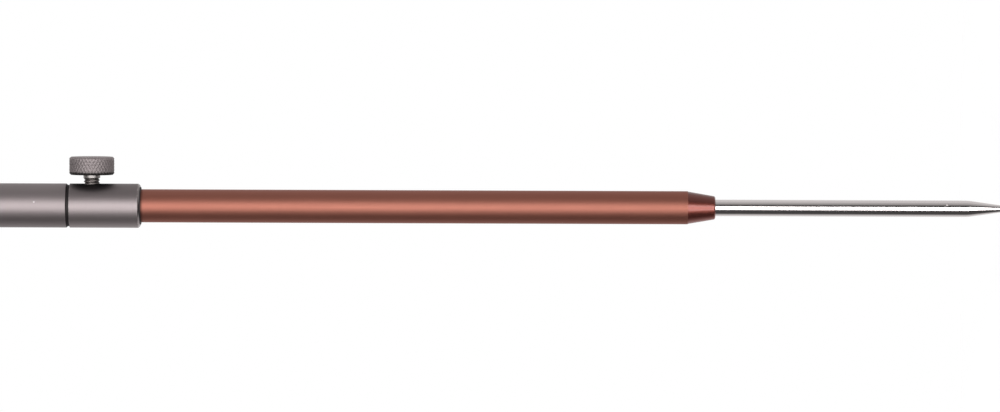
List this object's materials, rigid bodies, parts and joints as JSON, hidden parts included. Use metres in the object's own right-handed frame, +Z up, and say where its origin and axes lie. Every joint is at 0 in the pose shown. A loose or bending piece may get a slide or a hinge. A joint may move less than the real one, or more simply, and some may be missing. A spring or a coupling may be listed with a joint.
{
  "type": "bank stick",
  "caption": "Telescopic bank stick: a pointed steel ground spike on a sliding inner tube, clamped in an outer tube by a knurled thumbscrew, with a threaded socket on top.",
  "frame": {"origin": "on the stick's axis at the nose's lower end, where the spike leaves it: ground level when the stick is pushed home", "axes": "+Z up the stick from the spike to the threaded head, +X out along the thumbscrew to its knob"},
  "size_m": [0.0257, 0.0164, 0.6504],
  "materials": {
    "spike_steel": "ground and polished bright",
    "screw_steel": "machined, bright shoulder and darker thread",
    "brown_turned": "brown anodised over fine turning, glossy",
    "brown_tube": "brown anodised, satin",
    "grey_tube": "gunmetal anodised, satin",
    "grey_collar": "gunmetal anodised over fine turning, satin",
    "grey_knob": "gunmetal anodised diamond knurl",
    "insert_brass": "turned, threaded",
    "black_acetal": "turned acetal",
    "pad_nylon": "natural nylon",
    "ring_rubber": "moulded"
  },
  "bodies": {
    "lower_stick": {"spike": "spike_steel", "nose": "brown_turned", "inner_tube": "brown_tube", "guide_plug": "black_acetal"},
    "friction_ring": {"friction_ring": "ring_rubber"},
    "upper_stick": {"outer_tube": "grey_tube", "clamp_collar": "grey_collar", "mouth_bush": "black_acetal", "upper_bush": "black_acetal", "head_cap": "grey_collar", "thread_insert": "insert_brass"},
    "clamp_pad": {"clamp_pad": "pad_nylon"},
    "thumbscrew": {"thumb_knob": "grey_knob", "screw_stud": "screw_steel"}
  },
  "joints": [
    {"name": "swivel", "type": "hinge", "parent": "lower_stick", "child": "friction_ring", "pos_m": [0, 0, 0.3145], "axis": [0, 0, 1], "continuous": true},
    {"name": "height_slide", "type": "slide", "parent": "friction_ring", "child": "upper_stick", "axis": [0, 0, 1], "range_m": [-0.1967, 0.0583]},
    {"name": "pad_travel", "type": "slide", "parent": "upper_stick", "child": "clamp_pad", "axis": [1, 0, 0], "range_m": [0, 0.00101]},
    {"name": "screw_turn", "type": "hinge", "parent": "clamp_pad", "child": "thumbscrew", "pos_m": [0, 0, 0.22585], "axis": [1, 0, 0], "range_deg": [0, 360]}
  ],
  "couplings": [
    {"joint": "pad_travel", "follows": "screw_turn", "m_per_rad": 0.00015915}
  ]
}
